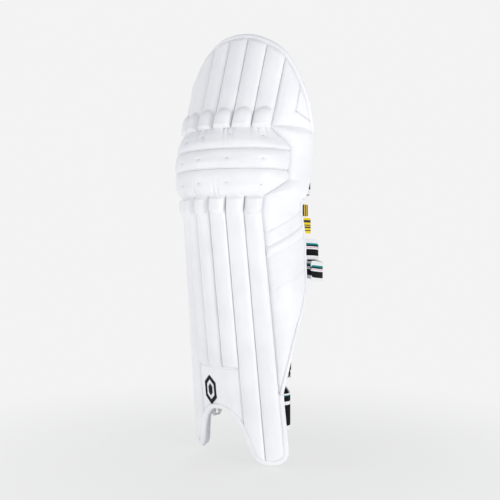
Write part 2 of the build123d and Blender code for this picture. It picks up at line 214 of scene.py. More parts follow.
def unit_grid(rows, columns):
    """s across and t up, both from 0 to 1, closer together near the edges."""
    def spread(n):
        """Numbers from 0 to 1 that are closer together near both ends."""
        x = np.linspace(0, 1, n)
        return x - 0.09 * np.sin(2 * math.pi * x)
    t, s = np.meshgrid(spread(rows), spread(columns), indexing="ij")
    return s, t


def stitches(name, line, depth, material, spacing=4.6, length=2.9, width=0.85, body="pad"):
    """Row of sewn stitches along a line of (u, z) at a depth: one small rounded bar each."""
    line = np.asarray(line, float)
    steps = distances(line)
    marks = np.arange(spacing, steps[-1] - spacing, spacing)
    depth = np.broadcast_to(depth, len(line))
    points, faces = [], []
    turns = 6
    bar = tube_faces(4, turns)
    for mark in marks:
        ends = []
        for at in (mark - length / 2, mark - length / 4, mark + length / 4, mark + length / 2):
            ends.append(place(*(np.interp(at, steps, v) for v in (line[:, 0], line[:, 1], depth))))
        ends = np.array(ends)
        axis = ends[-1] - ends[0]
        axis /= np.linalg.norm(axis)
        middle = (ends[1] + ends[2]) / 2
        out = np.array([middle[0], middle[1] - along(SECTION, middle[2] / MM, 2) * MM, 0])
        out -= axis * out.dot(axis)
        out /= np.linalg.norm(out)
        side = np.cross(axis, out)
        first = len(points)
        for end, size, sink in zip(ends, (0.35, 1, 1, 0.35), (0.5, 0.0, 0.0, 0.5)):
            for k in range(turns):
                a = 2 * math.pi * k / turns
                offset = (side * math.cos(a) + out * math.sin(a) * 0.8) * width * MM / 2 * size
                points.append(end - out * sink * MM + offset)
        faces += [[first + corner for corner in face] for face in bar]
    return make(name, points, faces, material, body, None)


def finish(piece, slot, *nodes, fill=None):
    if nodes:
        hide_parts(*nodes)


# ---- materials ----------------------------------------------------------------------------
class Nodes:
    """Short calls that build one material's node tree."""

    def __init__(self, name, color, rough, **settings):
        self.material = bpy.data.materials.new(name)
        self.material.use_nodes = True
        self.tree = self.material.node_tree
        self.shader = self.tree.nodes["Principled BSDF"]
        self.shader.inputs["Base Color"].default_value = (*color, 1)
        self.shader.inputs["Roughness"].default_value = rough
        for key, value in settings.items():
            self.shader.inputs[key.replace("_", " ")].default_value = value
        self.coordinates = self.add("ShaderNodeTexCoord").outputs["Object"]
        self.height = None

    def add(self, kind, **properties):
        """A new node of a kind, with its properties."""
        node = self.tree.nodes.new(kind)
        for key, value in properties.items():
            setattr(node, key, value)
        return node

    def link(self, a, b):
        """Joins an output to an input."""
        self.tree.links.new(a, b)

    def math(self, operation, a, b=0.0, c=0.0):
        """Result of an operation on numbers or outputs."""
        node = self.add("ShaderNodeMath", operation=operation)
        for socket, value in zip(node.inputs, (a, b, c)):
            if isinstance(value, (int, float)):
                socket.default_value = value
            else:
                self.link(value, socket)
        return node.outputs[0]

    def noise(self, scale, detail=2.0, stretch=None, kind="ShaderNodeTexNoise"):
        """Noise or cell pattern in object space."""
        source = self.coordinates
        if stretch:
            mapping = self.add("ShaderNodeMapping")
            mapping.inputs["Scale"].default_value = stretch
            self.link(source, mapping.inputs["Vector"])
            source = mapping.outputs[0]
        node = self.add(kind)
        node.inputs["Scale"].default_value = scale
        if "Detail" in node.inputs:
            node.inputs["Detail"].default_value = detail
        self.link(source, node.inputs["Vector"])
        return node.outputs[0]

    def bump(self, height, strength, distance):
        """Adds a relief on top of those before it."""
        node = self.add("ShaderNodeBump")
        node.inputs["Strength"].default_value = strength
        node.inputs["Distance"].default_value = distance
        self.link(height, node.inputs["Height"])
        if self.height:
            self.link(self.height, node.inputs["Normal"])
        self.height = node.outputs[0]
        self.link(self.height, self.shader.inputs["Normal"])

    def ramp(self, value, stops, constant=False):
        """Colour between stops (position, colour), or in steps."""
        node = self.add("ShaderNodeValToRGB")
        if constant:
            node.color_ramp.interpolation = "CONSTANT"
        elements = node.color_ramp.elements
        while len(elements) < len(stops):
            elements.new(0.5)
        for element, (position, color) in zip(elements, stops):
            element.position = position
            element.color = (*color, 1)
        self.link(value, node.inputs[0])
        return node.outputs[0]

    def attribute(self, name):
        """Number that the mesh keeps per point."""
        return self.add("ShaderNodeAttribute", attribute_name=name).outputs["Fac"]

    def color(self, output):
        """Base colour from an output."""
        self.link(output, self.shader.inputs["Base Color"])

    def rough(self, value, low, high):
        """Roughness between two levels."""
        node = self.add("ShaderNodeMapRange")
        node.inputs["To Min"].default_value = low
        node.inputs["To Max"].default_value = high
        self.link(value, node.inputs["Value"])
        self.link(node.outputs[0], self.shader.inputs["Roughness"])


def leather(name, light=(0.93, 0.93, 0.945), dark=(0.86, 0.865, 0.89), grain=1.0, band=False):
    """Coated white leather: pebble grain, faint creases and slightly uneven tone and gloss."""
    m = Nodes(name, light, 0.42, Specular_IOR_Level=0.45, Coat_Weight=0.08, Coat_Roughness=0.35)
    patch = m.noise(14, 3)
    m.color(m.ramp(patch, [(0.28, dark), (0.62, light)]))
    m.rough(m.noise(60, 3), 0.36, 0.52)
    cells = m.noise(900, kind="ShaderNodeTexVoronoi")
    m.bump(cells, 0.25 * grain, 0.0003)
    m.bump(m.noise(240, 4), 0.3 * grain, 0.0004)
    m.bump(m.noise(38, 3, stretch=(1, 1, 0.35)), 0.22, 0.0016)
    if band:
        mask = m.attribute("band")
        dots = m.noise(420, kind="ShaderNodeTexVoronoi")
        m.bump(m.math("MULTIPLY", dots, mask), 0.4, 0.0008)
    return m.material


def cloth(name, light, dark, scale=1.0, sheen=0.25):
    """Knitted or woven cloth with a fine two-way thread pattern."""
    m = Nodes(name, light, 0.9, Sheen_Weight=sheen, Sheen_Roughness=0.5, Specular_IOR_Level=0.2)
    threads = []
    for direction in ("X", "Z"):
        wave = m.add("ShaderNodeTexWave", bands_direction=direction)
        wave.inputs["Scale"].default_value = 320 * scale
        wave.inputs["Distortion"].default_value = 0.6
        m.link(m.coordinates, wave.inputs["Vector"])
        threads.append(wave.outputs["Fac"])
    weave = m.math("MULTIPLY", *threads)
    m.color(m.ramp(m.math("ADD", m.math("MULTIPLY", weave, 0.5), m.math("MULTIPLY", m.noise(30, 3), 0.5)),
                   [(0.2, dark), (0.75, light)]))
    m.bump(weave, 0.5, 0.0006)
    return m.material


def webbing(name, stripes):
    """Woven webbing: stripes across its width, read from the piece's own width, and a ribbed weave."""
    m = Nodes(name, (0.9, 0.9, 0.9), 0.8, Sheen_Weight=0.02, Specular_IOR_Level=0.15)
    across, length = m.attribute("across"), m.attribute("length")
    color = m.ramp(across, stripes, constant=True)
    rib = m.math("SINE", m.math("MULTIPLY", length, 2 * math.pi / 0.0016))
    thread = m.math("SINE", m.math("MULTIPLY", across, 2 * math.pi * 26))
    mix = m.add("ShaderNodeMixRGB", blend_type="MULTIPLY")
    mix.inputs["Fac"].default_value = 0.35
    m.link(color, mix.inputs[1])
    m.link(m.ramp(m.math("ADD", m.math("MULTIPLY", m.math("ADD", rib, thread), 0.2), 0.5),
                  [(0.1, (0.7, 0.7, 0.7)), (0.6, (1, 1, 1))]), mix.inputs[2])
    m.color(mix.outputs[0])
    m.bump(m.math("ADD", rib, thread), 0.5, 0.0003)
    return m.material


def plain(name, color, rough, bump=0.2, scale=300, dark=0.8, **settings):
    """Moulded or cut material with a faint grain and uneven tone."""
    m = Nodes(name, color, rough, **settings)
    m.color(m.ramp(m.noise(scale / 8, 3), [(0.3, tuple(c * dark for c in color)), (0.7, color)]))
    m.rough(m.noise(scale / 4, 2), rough * 0.85, min(1, rough * 1.15))
    m.bump(m.noise(scale, 3), bump, 0.0004)
    return m.material


WHITE, BLACK = (0.92, 0.92, 0.93), (0.004, 0.004, 0.005)
TEAL, PINK = (0.0, 0.27, 0.27), (0.75, 0.42, 0.55)
STRIPES = [(0.0, WHITE), (0.19, BLACK), (0.5, WHITE), (0.56, PINK), (0.60, WHITE), (0.635, BLACK),
           (0.71, TEAL), (0.79, WHITE)]
face = leather("face_leather")
banded = leather("banded_leather", band=True)
tape = leather("binding_leather", grain=0.7)
lining_cloth = cloth("lining_cloth", (0.74, 0.76, 0.8), (0.6, 0.62, 0.67))
cushion_cloth = cloth("cushion_cloth", (0.86, 0.87, 0.89), (0.74, 0.75, 0.79), 0.8)
foam = plain("core_foam", (0.82, 0.81, 0.77), 0.9, 0.5, 500)
thread = plain("seam_thread", (0.7, 0.7, 0.72), 0.7, 0.3, 900)
# Dark grey thread for the bar tacks and the flap inset's seam: partly the thread's own grey, partly painted
# shade of the inset's stitched groove
dark_thread_and_painted_shade = plain("tack_thread_and_painted_shade", (0.34, 0.34, 0.37), 0.7, 0.3, 900)
strap_cloth = webbing("strap_webbing", STRIPES)
ankle_cloth = webbing("ankle_webbing", [(0.0, WHITE), (0.1, BLACK), (0.68, WHITE), (0.78, BLACK),
                                        (0.93, TEAL), (0.955, WHITE)])
tab_webbing = webbing("tab_webbing", [(0.0, WHITE), (0.08, (0.82, 0.82, 0.84)), (0.92, WHITE)])
hook = plain("hook_tape", (0.006, 0.006, 0.007), 0.9, 1.0, 1500, Specular_IOR_Level=0.15)
ring_plastic = plain("ring_plastic", (0.78, 0.79, 0.8), 0.3, 0.15, 400, dark=0.94)
cane = plain("split_cane", (0.6, 0.42, 0.2), 0.6, 0.5, 200)
ink = plain("mark_print", (0.006, 0.007, 0.01), 0.6, 0.3, 700, Specular_IOR_Level=0.2)


# ---- front pieces -------------------------------------------------------------------------
top_line = inset(smooth(TOP_EDGE), BINDING - 1)
bottom_line = smooth(BOTTOM_EDGE)
arch_line = inset(smooth(BOTTOM_EDGE[ARCH_FIRST - 1:ARCH_LAST + 2]), BINDING - 1)


def flap_top(u):
    """Height of the inside of the flap's bound edge at u."""
    order = np.argsort(top_line[:, 0])
    return np.interp(u, top_line[order, 0], top_line[order, 1])


def arch_height(u):
    """Height of the inside of the bound edge over the instep at u."""
    top = int(arch_line[:, 1].argmax())
    left, right = arch_line[:top + 1], arch_line[top:]
    return np.where(u < arch_line[top, 0], np.interp(u, left[:, 0], left[:, 1]),
                    np.interp(u, right[:, 0], right[:, 1]))


def arch_side(z, side):
    """Place of the inside of the bound edge beside the instep opening at height z."""
    top = int(arch_line[:, 1].argmax())
    part = arch_line[top:][::-1] if side > 0 else arch_line[:top + 1]
    return np.interp(z, part[:, 1], part[:, 0])


def creases(u, z, seed, amount=0.35):
    """Slight unevenness of stretched leather."""
    return amount * (lattice(u / 9, z / 26, seed) + 0.5 * lattice(u / 4, z / 9, seed + 5))


def channel_depth(s, end, radius=7.0):
    """Depth across a channel from s, 0 to 1, rounded off towards an end that is a distance away."""
    x = np.abs(2 * s - 1)
    full = np.clip(1 - x ** 2.15, 0, 1) ** 0.58
    away = np.clip(end / radius, 0, 1)
    return SEAM_DEPTH * (1 - full * np.sqrt(np.clip(1 - (1 - away) ** 2, 0, 1)))


def cap_bump(s, half, from_seat):
    """Height of a rounded cap, whose straight sides end in a half circle.
    from_seat is the distance from the line where its half circle begins, + beyond it."""
    x = np.abs(2 * s - 1) * half
    radius = np.where(from_seat > 0, np.hypot(x, from_seat), x) / (half * 0.98)
    return 7.5 * np.clip(1 - radius ** 2.6, 0, 1) ** 0.62


LOBE_FEET = {1: (25, 17, 14), 2: (14, 17, 24), 6: (13, 9, 7), 7: (7, 8, 14)}   # at 3 places across
INNER_LOBE_SIDE = ((8, -112), (14, -121), (24, -126), (60, -127.5), (130, -140))
OUTER_LOBE_SIDE = ((6, 112), (14, 122), (24, 126), (60, 127), (130, 140))


def shin_channel(number):
    """Padded channel of the shin with its cap, counted from 1 at the inner side to 7."""
    rows, columns = 210, 27
    s, t = unit_grid(rows, columns)
    if number in LOBE_FEET:
        foot = np.broadcast_to(np.interp(s[0], [0, 0.5, 1], LOBE_FEET[number]), s.shape)
    else:
        foot = INSTEP_TOP - 1.5 * np.sin(s * math.pi)
    z = foot + t * (SHIN_TOP + 3 - foot)
    low, high = seam(number - 1, z) + GAP, seam(number, z) - GAP
    if number == 6:
        low = np.maximum(low, arch_side(z, 1))
    if number == 2:
        high = np.minimum(high, arch_side(z, -1))
    if number == 7:
        high = np.minimum(high, along(OUTER_LOBE_SIDE, z))
    if number == 1:
        low = np.maximum(low, along(INNER_LOBE_SIDE, z))
    high = np.maximum(high, low + 1)
    u = low + s * (high - low)
    half = (high - low) / 2
    depth = channel_depth(s, z - foot, 9)
    cap_seat = CAP_FOOT + half
    depth = depth - cap_bump(s, half, cap_seat - z) * rise((SHIN_TOP + 2 - z) / 7)
    depth = depth + creases(u, z, number, 0.22)
    piece = shell(f"shin_tube_{number}", u, z, np.minimum(depth, BACK - 1), BACK, face)
    finish(piece, "face_leather", f"shin_channel_{number}", "shin_channel_caps", fill=0.8)


def flap_channel(number):
    """Padded channel of the flap with the cap at its foot, counted from 1 at the inner side to 7."""
    rows, columns = 120, 27
    s, t = unit_grid(rows, columns)
    foot = FLAP_FOOT - 2
    z = foot + t * 160
    for _ in range(3):      # the top depends on the place across, which leans with the height
        u = seam(number - 1, z) + GAP + s * (seam(number, z) - seam(number - 1, z) - 2 * GAP)
        z = foot + t * (flap_top(u) - foot)
    half = (seam(number, z) - seam(number - 1, z)) / 2 - GAP
    depth = channel_depth(s, flap_top(u) - z, 9)
    seat = FLAP_CAP_TOP - (18 if number == 1 else 0) - half
    depth = depth - cap_bump(s, half, z - seat) * rise((z - FLAP_FOOT + 3) / 7)
    depth = depth + creases(u, z, number + 20, 0.25)
    piece = shell(f"flap_tube_{number}", u, z, np.minimum(depth, BACK - 1), BACK, face)
    finish(piece, "face_leather", f"top_channel_{number}", "top_channel_caps", fill=0.75)


# places (u, z) of the bar tacks on the three rolls
TACKS = [(-80, 571), (-36, 575), (7, 579), (58, 582), (114, 579),
         (-82, 535), (-38, 537), (6, 540), (57, 540), (113, 539),
         (-82, 495), (-38, 497), (6, 498), (57, 498), (112, 494)]
# puckers (place, strength) along the rolls' upper edge and their lower edge
UPPER_PUCKERS = [(-118, 1), (-103, 0.8), (-88, 1), (-60, 1), (-48, 0.7), (-34, 0.9), (-8, 1.2), (8, 1),
                 (44, 1.1), (52, 1.3), (61, 0.9), (91, 0.7), (104, 0.9), (118, 0.8)]
LOWER_PUCKERS = [(-112, 1), (-96, 0.8), (-70, 1), (-38, 1.1), (-30, 0.7), (-3, 1.1), (5, 0.8), (34, 1),
                 (41, 1)]
ROLL_FOOT, ROLL_TOP = 475, 597
ROLL_CROWN = ((474, 5), (477, -4), (482, -9.5), (492, -13), (510, -15), (535, -16), (552, -15),
              (570, -11.5), (584, -6.5), (592, -2), (597, 4))       # depth at each height


def barrel(u, z):
    """Depth of the knee rolls: one full curve over the three, pulled in at their seams."""
    from_outer, from_inner = along(ROLL_END[1], z) - u, u + along(ROLL_END[-1], z)
    full = rise(np.clip(np.minimum(from_outer / 62, from_inner / 55), 0, 1) * 0.72 + 0.28)
    bulge = 5.5 + (along(ROLL_CROWN, z) - 5.5) * (0.1 + 0.9 * full)
    for crease in CREASES[1:3]:
        bulge = bulge + 3.2 * np.exp(-np.abs(z - crease) / 2.2) + 1.2 * np.exp(-((z - crease) / 9) ** 2)
    bulge = bulge + 3.0 * np.exp(-np.clip(np.minimum(from_outer, from_inner), 0, None) / 2.0)
    for puckers, width, away, lean in ((UPPER_PUCKERS, 2.3, ROLL_TOP - z, 0.12),
                                       (LOWER_PUCKERS, 2.2, z - ROLL_FOOT, 0)):
        for pucker, strength in puckers:
            fold = np.exp(-((u - pucker - lean * away) / width) ** 2) * np.exp(-np.clip(away, 0, None) / 14)
            bulge = bulge + 4.6 * strength * fold
    for tack_u, tack_z in TACKS:
        bulge = bulge + 1.3 * np.exp(-((u - tack_u) / 6) ** 2 - ((z - tack_z) / 3.5) ** 2)
    return bulge + 0.5 * lattice(u / 24, z / 14, 3) + 0.18 * lattice(u / 6, z / 5, 4)


def knee_rolls():
    """The three rolls across the knee."""
    for name, low, high in zip(("lower", "middle", "upper"), CREASES, CREASES[1:]):
        rows, columns = 46, 260
        t = unit_grid(rows, columns)[1]
        s = np.linspace(0, 1, columns)[None, :] * np.ones_like(t)
        z = low + GAP + t * (high - low - 2 * GAP)
        left, right = -along(ROLL_END[-1], z) + GAP, along(ROLL_END[1], z) - GAP
        u = left + s * (right - left)
        piece = shell(f"knee_roll_{name}_pad", u, z, barrel(u, z), BACK, face)
        finish(piece, "face_leather", f"knee_roll_{name}", fill=0.9)


def wing_depth(u, start, rear, level, puff, reach=26):
    """Depth of a flat padded panel that swells a little between its edges."""
    from_start, from_rear = u - start, rear - u
    near = np.minimum(from_start, from_rear)
    swell = 1 - (1 - np.clip(near / reach, 0, 1)) ** 2
    rounding = 5.5 * (1 - np.clip(from_rear / 10, 0, 1)) ** 2
    seam_dip = 3.0 * np.exp(-np.clip(from_start, 0, None) / 2.2)
    return level - puff * swell + rounding + seam_dip


SIDE_FOOT = 112                          # where the side wings begin
KNEE_LAP = 3                             # how far the knee wings reach past the rolls
FLAP_WING_TOP = {1: 718, -1: 621}        # where the last flap seam meets the bound edge
FLAP_INSET = ((217, 611), (171, 626), (170, 672))
BAND_EDGE = 1.5                          # plain strip along each seam of a band
# the slanted seams on the outer side wing: both ends (u, z) of each
BANDS = [((125, 414), (219, 456)), ((126, 388), (218, 431)),
         ((127, 372), (215, 411)), ((129, 312), (210, 351))]


def band_offset(u, z):
    """Distances above the four slanted seams of the outer wing."""
    return [z - (z0 + (u - u0) * (z1 - z0) / (u1 - u0)) for (u0, z0), (u1, z1) in BANDS]


def wing_piece(kind, side, u, z, depth, material):
    """Panel of one side, laid out as for the outer side and mirrored for the inner."""
    piece = shell(f"{kind}_{SIDES[side]}_pad", side * u, z, depth, BACK + 1, material)
    if side < 0:
        piece.data.flip_normals()
    return piece


def side_wing(side):
    """Flat panel beside the shin. The outer one has two slanted bands."""
    rows, columns = 230, 64 if side > 0 else 40
    s = unit_grid(rows, columns)[0]
    t = np.linspace(0, 1, rows)[:, None] * np.ones_like(s)
    z = SIDE_FOOT + t * (SHIN_TOP + 2 - SIDE_FOOT)
    start, rear = seam(CHANNELS, z) + GAP, along(SIDE_REAR[side], z) - 5
    rear = np.maximum(rear, start + 1.5)
    u = start + s * (rear - start)
    depth = wing_depth(u, start, rear, 4.2, 2.2)
    if side > 0:
        a, b, c, d = band_offset(u, z)
        inside = (b < 0) & (c > 0)
        x = np.where(inside, -b / np.maximum(c - b, 1e-6), 0)
        strip = np.where(inside, 2.6 * np.clip(4 * x * (1 - x), 0, 1) ** 0.55, 0)
        depth = depth - strip * rise((rear - u) / 12)
        for offset in (a, b, c, d):
            depth = depth + 1.1 * np.exp(-np.abs(offset) / 1.3)
        within = ((a < -BAND_EDGE) & (b > BAND_EDGE)) | ((c < -BAND_EDGE) & (d > BAND_EDGE))
        band = within.astype(float) * rise((rear - u) / 9) * rise((u - start) / 7)
        depth = depth + 0.16 * band * lattice(u / 1.7, z / 1.7, 9)
    depth = depth + creases(u, z, 40 + side, 0.3)
    piece = wing_piece("side_wing", side, u, z, depth, banded if side > 0 else face)
    if side > 0:
        store(piece, "band", np.concatenate([band.ravel(), np.zeros(band.size)]))
    finish(piece, "face_leather", f"side_wing_{SIDES[side]}", fill=0.6)


def knee_wing(side):
    """Swollen panel beside the rolls. The outer one has a field of slanted ridges."""
    rows, columns = 90, 70 if side > 0 else 36
    s, t = unit_grid(rows, columns)
    z = SHIN_TOP - KNEE_LAP + t * (FLAP_FOOT - SHIN_TOP + 2 * KNEE_LAP)
    start, rear = along(ROLL_END[side], z) + GAP, along(KNEE_REAR[side], z) - 3
    u = start + s * (rear - start)
    depth = wing_depth(u, start, rear, 2.0, 7.5, 34)
    for edge in (z - (SHIN_TOP - KNEE_LAP), FLAP_FOOT + KNEE_LAP - z):
        depth = depth + 6.5 * (1 - np.clip(edge / 16, 0, 1)) ** 2
    if side > 0:
        field = np.maximum(np.abs(u - 200) / 13, np.abs(z - 530) / 42)
        ridges = np.maximum(0, np.sin((z + 0.6 * u) * 2 * math.pi / 7)) ** 2
        depth = depth + 0.5 * (field < 1) * ridges * rise((1 - field) * 4)
    depth = depth + creases(u, z, 50 + side, 0.4)
    piece = wing_piece("knee_wing", side, u, z, np.minimum(depth, BACK), face)
    finish(piece, "face_leather", f"knee_wing_{SIDES[side]}", fill=0.7)


def flap_wing(side):
    """Flat panel between the last flap channel and the bound edge. The outer one has an inset."""
    rows, columns = 100, 60 if side > 0 else 14
    s, t = unit_grid(rows, columns)
    edge = top_line[top_line[:, 0] * side > 0]
    edge = edge[np.argsort(edge[:, 1])]
    z = FLAP_FOOT + GAP + t * (FLAP_WING_TOP[side] - FLAP_FOOT)
    start = seam(CHANNELS, z) + GAP
    rear = np.maximum(np.abs(np.interp(z, edge[:, 1], edge[:, 0])), start + 0.5)
    u = start + s * (rear - start)
    depth = wing_depth(u, start, rear, 4.5, 2.0, 30) - 1.5
    depth = depth + 3 * np.exp(-(z - FLAP_FOOT) / 2.5)
    if side > 0:
        for (u0, z0), (u1, z1) in zip(FLAP_INSET, FLAP_INSET[1:]):
            length = math.hypot(u1 - u0, z1 - z0)
            part = np.clip(((u - u0) * (u1 - u0) + (z - z0) * (z1 - z0)) / length ** 2, 0, 1)
            away = np.hypot(u - u0 - part * (u1 - u0), z - z0 - part * (z1 - z0))
            depth = depth + 2.6 * np.exp(-away / 1.5)
    depth = depth + creases(u, z, 60 + side, 0.3)
    piece = wing_piece("flap_wing", side, u, z, np.minimum(depth, BACK), face)
    finish(piece, "face_leather", f"top_wing_{SIDES[side]}", fill=0.5)


def instep_panel():
    """Smooth panel between the instep opening and the three middle channels."""
    rows, columns = 90, 90
    s, t = unit_grid(rows, columns)

    def across(height):
        """Places across the panel at a height."""
        return seam(2, height) + GAP + s * (seam(5, height) - seam(2, height) - 2 * GAP)

    foot = arch_height(across(130))     # 130 is about the panel's middle height
    z = foot + t * (INSTEP_TOP - GAP - foot)
    u = across(z)
    near = np.minimum(u - seam(2, z), seam(5, z) - u)
    depth = 5.2 + 3.2 * np.exp(-near / 2.6) + 2.5 * np.exp(-(INSTEP_TOP - z) / 2.5)
    depth = depth - 1.4 * rise(near / 30) * rise((z - foot) / 20) + creases(u, z, 70, 0.3)
    piece = shell("instep_panel_cover", u, z, depth, BACK, face)
    finish(piece, "face_leather", "instep_panel", fill=0.5)


for i in range(1, CHANNELS + 1):
    shin_channel(i)
    flap_channel(i)
knee_rolls()
for side in (1, -1):
    side_wing(side)
    knee_wing(side)
    flap_wing(side)
instep_panel()


# ---- bound edges, stitches ----------------------------------------------------------------
def frames(line, depth):
    """Points, directions away from the pad's edge and directions inward for a line of (u, z)."""
    line = np.asarray(line, float)
    points = place(line[:, 0], line[:, 1], depth)
    along_line = np.gradient(points, axis=0)
    along_line /= np.linalg.norm(along_line, axis=1)[:, None]
    inward = place(line[:, 0], line[:, 1], np.add(depth, 1.0)) - points
    inward -= along_line * (inward * along_line).sum(1)[:, None]
    inward /= np.linalg.norm(inward, axis=1)[:, None]
    return points, np.cross(inward, along_line), inward


def rounded_tape(width, thickness):
    """Section of a folded tape: a round nose on the free side, and a lip that turns in at the other."""
    half = thickness / 2
    lip = -(width - half)
    turn = np.linspace(-math.pi / 2, math.pi / 2, 14)
    nose = [(half * math.cos(a), half * math.sin(a)) for a in turn]
    return nose + [(lip / 2, half * 1.04), (lip, half * 0.86), (lip - 0.9, half * 0.55),
                   (lip - 0.9, -half * 0.55), (lip, -half * 0.86), (lip / 2, -half * 1.04)]


def bound_edge(name, line, width, thickness, depth, *nodes):
    """Folded leather tape sewn round an edge, uneven where it goes round a bend."""
    points, outside, inward = frames(line, depth)
    shape = np.array(rounded_tape(width, thickness))
    shape[:, 0] -= thickness / 2
    steps = np.arange(len(points))
    uneven = 1 + 0.05 * lattice(steps / 9.0, steps * 0, 11) + 0.03 * lattice(steps / 3.0, steps * 0, 12)
    section = shape[None] * MM * uneven[:, None, None]
    ring = points[:, None] + outside[:, None] * section[:, :, :1] + inward[:, None] * section[:, :, 1:]
    piece = make(name, ring, tube_faces(*ring.shape[:2]), tape, crease=None)
    finish(piece, "binding_tape", *nodes)


outer_top = smooth(TOP_EDGE)
bound_edge("flap_edge_tape", outer_top, BINDING + 1.5, 10.5, 8.6, "top_binding")
bound_edge("foot_edge_tape", bottom_line, BINDING + 1, 9.6, 8.6, "bottom_binding")
stitches("flap_edge_stitches", inset(outer_top, BINDING + 0.2)[6:-6], 4.3, thread)
stitches("foot_edge_stitches", inset(bottom_line, BINDING + 0.4)[10:-10], 4.2, thread)


STEP = 3.0      # between the points of an edge or a seam


def rear_line(table, side, low, high):
    """Line (u, z) up the rear edge of one side."""
    z = np.arange(low, high, STEP)
    return np.stack([side * along(table[side], z), z], 1)


for side, word in SIDES.items():
    edge = rear_line(SIDE_REAR, side, SIDE_FOOT + 6, SHIN_TOP + 1)
    bound_edge(f"{word}_side_edge_tape", edge[::side], 7.5, 11, 10.5)
    stitches(f"{word}_side_edge_stitches", [(u - side * 9.5, z) for u, z in edge], 4.4, thread)
    edge = rear_line(KNEE_REAR, side, SHIN_TOP - 1, FLAP_FOOT + 3)
    bound_edge(f"{word}_knee_edge_tape", edge[::side], 8, 13, 9.5)
    z = np.arange(SHIN_TOP + 2, FLAP_FOOT, STEP)
    line = np.stack([side * (along(ROLL_END[side], z) + 2.2), z], 1)
    stitches(f"{word}_knee_stitches", line, 5.2, thread)


# ---- seams and tacks ----------------------------------------------------------------------
def upright_seam(number, low, high, side=1, beside=0.0):
    """Line (u, z) up a seam, or a little beside it, on one side."""
    z = np.arange(low, high, STEP)
    return np.stack([side * (seam(number, z) + beside), z], 1)


for number in range(1, CHANNELS):
    foot = INSTEP_TOP + 2 if number in (2, 3, 4, 5) else 26
    stitches(f"shin_seam_{number}", upright_seam(number, foot, SHIN_TOP - 4), 6.3, thread)
    top = float(flap_top(seam(number, 720.0)))
    stitches(f"flap_seam_{number}", upright_seam(number, FLAP_FOOT + 3, top - 3), 6.3, thread)
for side, word in SIDES.items():
    line = upright_seam(CHANNELS, SIDE_FOOT + 6, SHIN_TOP, side, 2.4)
    stitches(f"shin_side_seam_{word}", line, 5.2, thread)
    line = upright_seam(CHANNELS, FLAP_FOOT + 3, 700 if side > 0 else 616, side, 2.2)
    stitches(f"flap_side_seam_{word}", line, 5.6, thread)
for number, height in enumerate(CREASES[1:3], 1):
    u = np.arange(-along(ROLL_END[-1], height) + 4, along(ROLL_END[1], height) - 4, 4.0)
    z = 0 * u + height + 1.8
    stitches(f"roll_seam_{number}", np.stack([u, z], 1), barrel(u, z) - 0.15, thread, 4.2, 2.4, 0.7)
line = smooth([(seam(2, 172) + 4, 171.5), (-30, 171), (0, 170.6), (30, 170.4), (seam(5, 172) - 4, 170.2)])
stitches("instep_seam", line, 4.6, thread)
for number, ((u0, z0), (u1, z1)) in enumerate(BANDS, 1):
    part = np.linspace(0.03, 0.93, 40)
    line = np.stack([u0 + part * (u1 - u0), z0 + part * (z1 - z0)], 1)
    line = line[line[:, 0] > seam(CHANNELS, line[:, 1]) + 3]
    stitches(f"band_seam_{number}", line, 2.9, thread, 4.0, 2.2, 0.7)
line = np.concatenate([np.linspace((215, 611), (171, 626), 20), np.linspace((171, 627), (170, 670), 20)])
# Dark thread along the inset: the stitches' own grey plus painted shade of the groove they sit in
stitches("flap_inset_seam", line, 2.6, dark_thread_and_painted_shade, 4.0, 2.2, 0.8)
for number, (tack_u, tack_z) in enumerate(TACKS, 1):
    bow = np.linspace(-1, 1, 9)
    u, z = tack_u + 3.4 * bow, tack_z - 0.9 * bow ** 2
    stitches(f"tack_{number}", np.stack([u, z], 1), barrel(u, z) - 0.25, dark_thread_and_painted_shade, 2.2, 1.9, 1.0)


# ---- plain mark on the instep panel -------------------------------------------------------
def embroidered(name, outline, hole):
    """Raised embroidery between an outline and a hole, each a list of places that goes round once."""
    a, b = (np.concatenate([p, p[:1]]) for p in (outline, hole))
    s = np.linspace(0, 1, 7)[None, :]
    u, z = (b[:, k:k + 1] * (1 - s) + a[:, k:k + 1] * s for k in (0, 1))
    raised = 3.1 - 0.7 * np.sqrt(np.clip(1 - (2 * s - 1) ** 4, 0, 1)) + 0 * u
    shell(name, u, z, raised, raised * 0 + 4.6, ink)


def six_sided(u, z, wide, tall):
    """Places that go once round a six-sided figure with a corner at the top."""
    corners = [(u + wide, z + tall / 2), (u, z + tall), (u - wide, z + tall / 2), (u - wide, z - tall / 2),
               (u, z - tall), (u + wide, z - tall / 2)]
    return np.concatenate([np.linspace(p, q, 9)[:-1] for p, q in zip(corners, corners[1:] + corners[:1])])


MARK = (-17, 129)      # centre of the mark
embroidered("instep_mark_frame", six_sided(*MARK, 16, 27), six_sided(*MARK, 10.5, 19))
embroidered("instep_mark_core", six_sided(*MARK, 5, 11), six_sided(*MARK, 0.2, 0.4))


# ---- behind the face ----------------------------------------------------------------------
LINING_EDGE = 3.5      # how far inside the outline the foam and the lining end
THIN_EDGE = 18         # width of the thinner edge of the foam and the lining
SPLIT = 97             # the lobes' own panels end here, level with the top of the instep opening


def whole_rows():
    """Rows (z, low u, high u) of the pad above the instep opening."""
    edge = inset(outer_top, LINING_EDGE)
    top = int(np.argmax(edge[:, 1]))
    right, left = edge[:top + 1], edge[top:]
    rows = []
    for z in np.concatenate([np.arange(SPLIT, 740, 5), np.arange(740, edge[top, 1] - 0.3, 1.6)]):
        if z > FLAP_FOOT + 2:
            high = np.interp(z, right[:, 1], right[:, 0]) + LINING_EDGE
            low = np.interp(-z, -left[:, 1], left[:, 0]) - LINING_EDGE
        elif z > SHIN_TOP:
            high, low = along(KNEE_REAR[1], z), -along(KNEE_REAR[-1], z)
        else:
            high, low = along(SIDE_REAR[1], z), -along(SIDE_REAR[-1], z)
        rows.append((z, low + LINING_EDGE, high - LINING_EDGE))
    return np.array(rows)


